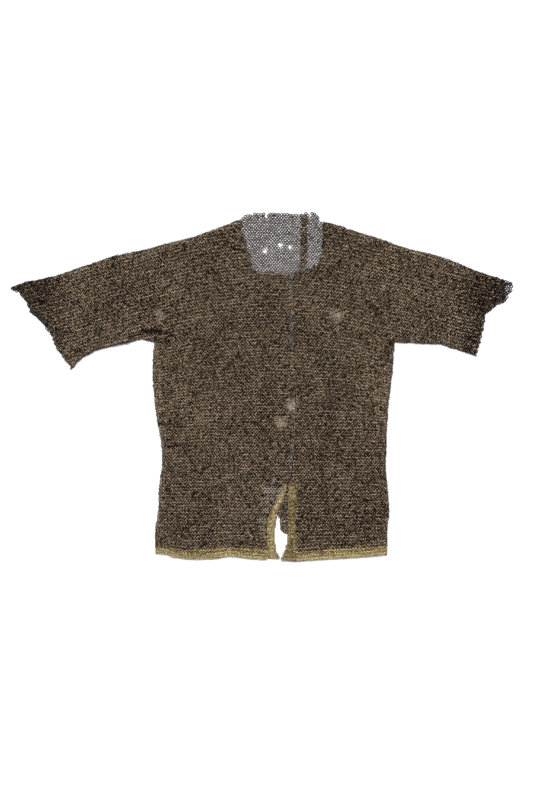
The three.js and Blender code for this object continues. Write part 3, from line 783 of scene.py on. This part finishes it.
def pitting_group():
    """Normal of hammered and corroded wire: a bump from fine noise on Object coordinates."""
    group = new_group(
        "wire_pitting",
        [("Scale", "NodeSocketFloat", 1800.0), ("Depth", "NodeSocketFloat", 0.5)],
        [("Normal", "NodeSocketVector")],
    )
    source = add_node(group, "NodeGroupInput")
    result = add_node(group, "NodeGroupOutput")
    place = add_node(group, "ShaderNodeTexCoord")
    noise = add_node(group, "ShaderNodeTexNoise", [
        ("Vector", place, "Object"), ("Scale", source, "Scale"), ("Detail", 2.0),
    ])
    bump = add_node(group, "ShaderNodeBump", [
        ("Height", noise, "Fac"), ("Strength", source, "Depth"), ("Distance", 0.0002),
    ])
    group.links.new(bump.outputs["Normal"], result.inputs["Normal"])
    return group


def row_relief(tree, place, shift, lean):
    """Nodes for every second row of rings on the weave's own map, with places in metres. Each point takes
    its distance from its cell's middle; the wire is where that is near the ring's radius. Puts out the
    wire's height, which leans up or down across the row, and 0 between the wires."""
    moved = add_node(tree, "ShaderNodeVectorMath", [(0, place, "UV"), (1, shift)], operation="ADD")
    parts = add_node(tree, "ShaderNodeSeparateXYZ", [(0, moved, 0)])
    squares = []
    rises = None
    for axis, pitch, narrow in ((0, RING_PITCH, 1.0), (1, 2 * ROW_PITCH, np.cos(np.radians(RING_TILT)))):
        wrapped = add_node(tree, "ShaderNodeMath", [
            (0, parts, axis), (1, pitch / 2), (2, -pitch / 2),
        ], operation="WRAP")
        scaled = add_node(tree, "ShaderNodeMath", [
            (0, wrapped, 0), (1, 1 / (RING_RADIUS * narrow)),
        ], operation="MULTIPLY")
        squares.append(add_node(tree, "ShaderNodeMath", [(0, scaled, 0), (1, 2.0)], operation="POWER"))
        rises = scaled
    total = add_node(tree, "ShaderNodeMath", [(0, squares[0], 0), (1, squares[1], 0)], operation="ADD")
    away = add_node(tree, "ShaderNodeMath", [(0, total, 0), (1, 0.5)], operation="POWER")
    off = add_node(tree, "ShaderNodeMath", [(0, away, 0), (1, 1.0)], operation="SUBTRACT")
    aside = add_node(tree, "ShaderNodeMath", [(0, off, 0)], operation="ABSOLUTE")
    wire = add_node(tree, "ShaderNodeMapRange", [
        ("Value", aside, 0), ("From Min", 0.0), ("From Max", WIRE_HALF_WIDTH / RING_RADIUS),
        ("To Min", 1.0), ("To Max", 0.0),
    ])
    height = add_node(tree, "ShaderNodeMath", [
        (0, rises, 0), (1, lean), (2, RELIEF_MIDDLE),
    ], operation="MULTIPLY_ADD")
    return add_node(tree, "ShaderNodeMath", [(0, wire, "Result"), (1, height, 0)], operation="MULTIPLY")


def weave_group():
    """Relief of linked rings on a plate: the higher of the even and the odd rows, as the height of the
    wire, which is 0 between the wires, and as a normal."""
    group = new_group("plate_weave", [], [("Wire", "NodeSocketFloat"), ("Normal", "NodeSocketVector")])
    result = add_node(group, "NodeGroupOutput")
    place = add_node(group, "ShaderNodeUVMap", uv_map="weave")
    even = row_relief(group, place, (0.0, 0.0, 0.0), RELIEF_LEAN)
    odd = row_relief(group, place, (RING_PITCH / 2, ROW_PITCH, 0.0), -RELIEF_LEAN)
    height = add_node(group, "ShaderNodeMath", [(0, even, 0), (1, odd, 0)], operation="MAXIMUM")
    bump = add_node(group, "ShaderNodeBump", [
        ("Height", height, 0), ("Strength", 1.0), ("Distance", RELIEF_DEPTH),
    ])
    group.links.new(height.outputs[0], result.inputs["Wire"])
    group.links.new(bump.outputs["Normal"], result.inputs["Normal"])
    return group


PATINA = patina_group()
PITTING = pitting_group()
WEAVE = weave_group()
BARE_IRON = (0.46, 0.42, 0.39)
PLATE_METALLIC = 0.7
PLATE_ROUGHNESS = 0.6


def ring_material(name, clean, tarnished, worn_highlit, roughness, rough_patina, metallic, patch_scale, ring_share):
    """Metal of rings: a clean colour that goes to the tarnished one under the patina and to the worn one
    on the crowns, which is wear and a painted highlight, rougher where the patina is, and bare iron on pale
    rings."""
    material = bpy.data.materials.new(name)
    material.use_nodes = True
    tree = material.node_tree
    shader = tree.nodes["Principled BSDF"]
    patina = add_node(tree, "ShaderNodeGroup", node_tree=PATINA)
    patina.inputs["Patch Scale"].default_value = patch_scale
    patina.inputs["Ring Share"].default_value = ring_share
    pitting = add_node(tree, "ShaderNodeGroup", node_tree=PITTING)
    base = add_node(tree, "ShaderNodeMix", [
        ("Factor", patina, "Patina"), (6, (*clean, 1.0)), (7, (*tarnished, 1.0)),
    ], data_type="RGBA")
    # the worn colour on the crowns is wear and painted highlight
    colour = add_node(tree, "ShaderNodeMix", [
        ("Factor", patina, "Wear And Highlight"), (6, base, 2), (7, (*worn_highlit, 1.0)),
    ], data_type="RGBA")
    rough = add_node(tree, "ShaderNodeMapRange", [
        ("Value", patina, "Patina"), ("To Min", roughness), ("To Max", rough_patina),
    ])
    pale = add_node(tree, "ShaderNodeAttribute", attribute_name="pale")
    bare = add_node(tree, "ShaderNodeMix", [
        ("Factor", pale, "Fac"), (6, colour, 2), (7, (*BARE_IRON, 1.0)),
    ], data_type="RGBA")
    tree.links.new(bare.outputs[2], shader.inputs["Base Color"])
    tree.links.new(rough.outputs["Result"], shader.inputs["Roughness"])
    tree.links.new(pitting.outputs["Normal"], shader.inputs["Normal"])
    shader.inputs["Metallic"].default_value = metallic
    return material


def plate_material(name, wire, gap):
    """Iron of the hidden plates: the relief of the weave, with painted shade: the colour darkens with the
    wire's height down to the gap colour between the wires.
    """
    material = bpy.data.materials.new(name)
    material.use_nodes = True
    tree = material.node_tree
    shader = tree.nodes["Principled BSDF"]
    weave = add_node(tree, "ShaderNodeGroup", node_tree=WEAVE)
    patina = add_node(tree, "ShaderNodeGroup", node_tree=PATINA)
    dull = add_node(tree, "ShaderNodeMix", [
        ("Factor", patina, "Patina"), (6, (*wire, 1.0)), (7, (*gap, 1.0)),
    ], data_type="RGBA")
    # painted shade: the lower a point of the relief, the nearer its colour is to the near-black gap colour
    colour = add_node(tree, "ShaderNodeMix", [
        ("Factor", weave, "Wire"), (6, (*gap, 1.0)), (7, dull, 2),
    ], data_type="RGBA")
    tree.links.new(colour.outputs[2], shader.inputs["Base Color"])
    tree.links.new(weave.outputs["Normal"], shader.inputs["Normal"])
    shader.inputs["Metallic"].default_value = PLATE_METALLIC
    shader.inputs["Roughness"].default_value = PLATE_ROUGHNESS
    return material


PLATE_IRON = plate_material("iron_plate", (0.040, 0.022, 0.010), (0.006, 0.003, 0.001))
# the worn colours are wear and painted highlight on the rings' crowns
IRON = ring_material(
    "iron_mail", clean=(0.150, 0.090, 0.052), tarnished=(0.014, 0.006, 0.002), worn_highlit=(0.92, 0.72, 0.50),
    roughness=0.38, rough_patina=0.70, metallic=0.85, patch_scale=9.0, ring_share=1.0,
)
INNER_IRON = ring_material(
    "inner_iron", clean=(0.045, 0.032, 0.028), tarnished=(0.006, 0.004, 0.003), worn_highlit=(0.30, 0.23, 0.20),
    roughness=0.45, rough_patina=0.75, metallic=0.6, patch_scale=9.0, ring_share=1.0,
)
PALE = ring_material(
    "pale_iron", clean=(0.34, 0.30, 0.27), tarnished=(0.050, 0.038, 0.030), worn_highlit=(0.76, 0.70, 0.64),
    roughness=0.35, rough_patina=0.55, metallic=0.8, patch_scale=14.0, ring_share=1.0,
)
BRASS = ring_material(
    "brass_mail", clean=(0.38, 0.255, 0.066), tarnished=(0.060, 0.037, 0.008), worn_highlit=(1.00, 0.83, 0.44),
    roughness=0.32, rough_patina=0.55, metallic=0.70, patch_scale=25.0, ring_share=0.75,
)
PLATE_BRASS = plate_material("brass_plate", (0.20, 0.14, 0.045), (0.030, 0.022, 0.008))

# All the mail
front = place_rings("front", LAYER_NODES["front"], 0.0)
add_mends(front, ("front_right_panel", "front_left_panel"))
split(front, "front_right_panel")
split(front, "front_left_panel")
add_lining(
    front, "front", ("slit_border_right", "slit_border_left"), FRONT_LINING_SHIFT, FRONT_LINING_RISE,
)
back = place_rings("back", LAYER_NODES["back"], BACK_SHIFT)
back["back_slit"] = pick(back["back_panel"], in_slit(back["back_panel"]))
back["back_panel"] = pick(back["back_panel"], ~in_slit(back["back_panel"]))
lining = place_rings("back", ["back_panel"], BACK_LINING_SHIFT)["back_panel"]
back["back_slit"] = join(back["back_slit"], pick(lining, in_slit(lining)), BACK_LINING_RISE)
back["back_slit"]["dark"] += SLIT_DARK
add_lining(
    back, "back", ("sleeve_right_back", "sleeve_left_back"), BACK_LINING_SHIFT, BACK_LINING_RISE,
    CUFF_SINGLE_FROM,
)
closure = place_closure()
fold = place_rings("fold", LAYER_NODES["fold"], 0.0, FOLD_EDGE_ROOM)

# Each metal's material, the name of the slot it goes under where that has another name, how many times the
# usual width its wire has, and how loosely its rings lie
METALS = {
    "iron_mail": IRON, "dense_iron": IRON, "inner_iron": INNER_IRON, "pale_iron": PALE, "brass_mail": BRASS,
}
SLOTS = {"inner_iron": "iron_mail", "dense_iron": "iron_mail"}
WIRES = {"inner_iron": 1.6, "dense_iron": 1.6, "brass_mail": 1.35}
LOOSE = {"inner_iron": np.array([1.8, 1.8, 1.0])}

# Each stretch of rings: layer, part of the layer, node that it stands for, metal
STRETCHES = {
    "front_right_high_rings": (front, "front_right_panel_high", "front_right_panel", "iron_mail"),
    "front_right_low_rings": (front, "front_right_panel_low", "front_right_panel", "iron_mail"),
    "front_left_high_rings": (front, "front_left_panel_high", "front_left_panel", "iron_mail"),
    "front_left_low_rings": (front, "front_left_panel_low", "front_left_panel", "iron_mail"),
    "sleeve_right_front_rings": (front, "sleeve_right_front", "sleeve_right_front", "iron_mail"),
    "sleeve_left_front_rings": (front, "sleeve_left_front", "sleeve_left_front", "iron_mail"),
    "sleeve_right_back_rings": (back, "sleeve_right_back", "sleeve_right_back", "inner_iron"),
    "sleeve_left_back_rings": (back, "sleeve_left_back", "sleeve_left_back", "inner_iron"),
    "hem_front_right_rings": (front, "hem_border_front_right", "hem_border_front_right", "brass_mail"),
    "hem_front_left_rings": (front, "hem_border_front_left", "hem_border_front_left", "brass_mail"),
    "hem_back_right_rings": (back, "hem_border_back_right", "hem_border_back_right", "brass_mail"),
    "hem_back_left_rings": (back, "hem_border_back_left", "hem_border_back_left", "brass_mail"),
    "slit_right_rings": (front, "slit_border_right", "slit_border_right", "brass_mail"),
    "slit_left_rings": (front, "slit_border_left", "slit_border_left", "brass_mail"),
    "back_rings": (back, "back_panel", "back_panel", "inner_iron"),
    "back_slit_rings": (back, "back_slit", "back_panel", "dense_iron"),
    "neck_fold_rings": (fold, "neck_fold", "neck_fold", "iron_mail"),
    "closure_pale_rings": (closure, "closure_pale", "closure_strip", "pale_iron"),
    "closure_dark_rings": (closure, "closure_dark", "closure_strip", "iron_mail"),
}
for seed, (name, (layer, part, node, metal)) in enumerate(STRETCHES.items()):
    slot = SLOTS.get(metal, metal)
    mesh_of_rings(
        name, layer[part], METALS[metal], node, seed, WIRES.get(metal, 1.0), LOOSE.get(metal, 1.0),
    )
for name, material, slot, node in (
    ("back_plate", PLATE_IRON, "iron_mail", "back_panel"),
    ("sleeve_right_plate", PLATE_IRON, "iron_mail", "sleeve_right_back"),
    ("sleeve_left_plate", PLATE_IRON, "iron_mail", "sleeve_left_back"),
    ("hem_right_plate", PLATE_BRASS, "brass_mail", "hem_border_back_right"),
    ("hem_left_plate", PLATE_BRASS, "brass_mail", "hem_border_back_left"),
    ("neck_fold_plate", PLATE_IRON, "iron_mail", "neck_fold"),
):
    plate(name, material, node)


# Floor and light
def add_floor():
    """Plain pale surface that the shirt lies on."""
    mesh = bpy.data.meshes.new("floor")
    corners = [(x * FLOOR_HALF, y * FLOOR_HALF, 0.0) for x, y in ((-1, -1), (1, -1), (1, 1), (-1, 1))]
    mesh.from_pydata(corners, [], [(0, 1, 2, 3)])
    material = bpy.data.materials.new("floor_paper")
    material.use_nodes = True
    shader = material.node_tree.nodes["Principled BSDF"]
    shader.inputs["Base Color"].default_value = (FLOOR_WHITE, FLOOR_WHITE, FLOOR_WHITE, 1.0)
    shader.inputs["Roughness"].default_value = FLOOR_ROUGHNESS
    mesh.materials.append(material)
    floor = bpy.data.objects.new("floor", mesh)
    bpy.context.scene.collection.objects.link(floor)


def add_lights():
    """Broad soft light from beyond the neck, the same all over the floor, and an even white surround."""
    data = bpy.data.lights.new("key", "SUN")
    data.energy = SUN_STRENGTH
    data.angle = np.radians(SUN_WIDTH)
    key = bpy.data.objects.new("key", data)
    key.rotation_euler = Vector(SUN_DIRECTION).to_track_quat("-Z", "Y").to_euler()
    bpy.context.scene.collection.objects.link(key)
    world = bpy.data.worlds.new("studio")
    world.use_nodes = True
    background = world.node_tree.nodes["Background"]
    background.inputs["Color"].default_value = (1.0, 1.0, 1.0, 1.0)
    background.inputs["Strength"].default_value = SURROUND_STRENGTH
    bpy.context.scene.world = world


add_floor()
add_lights()
bpy.context.scene.view_settings.view_transform = "Standard"
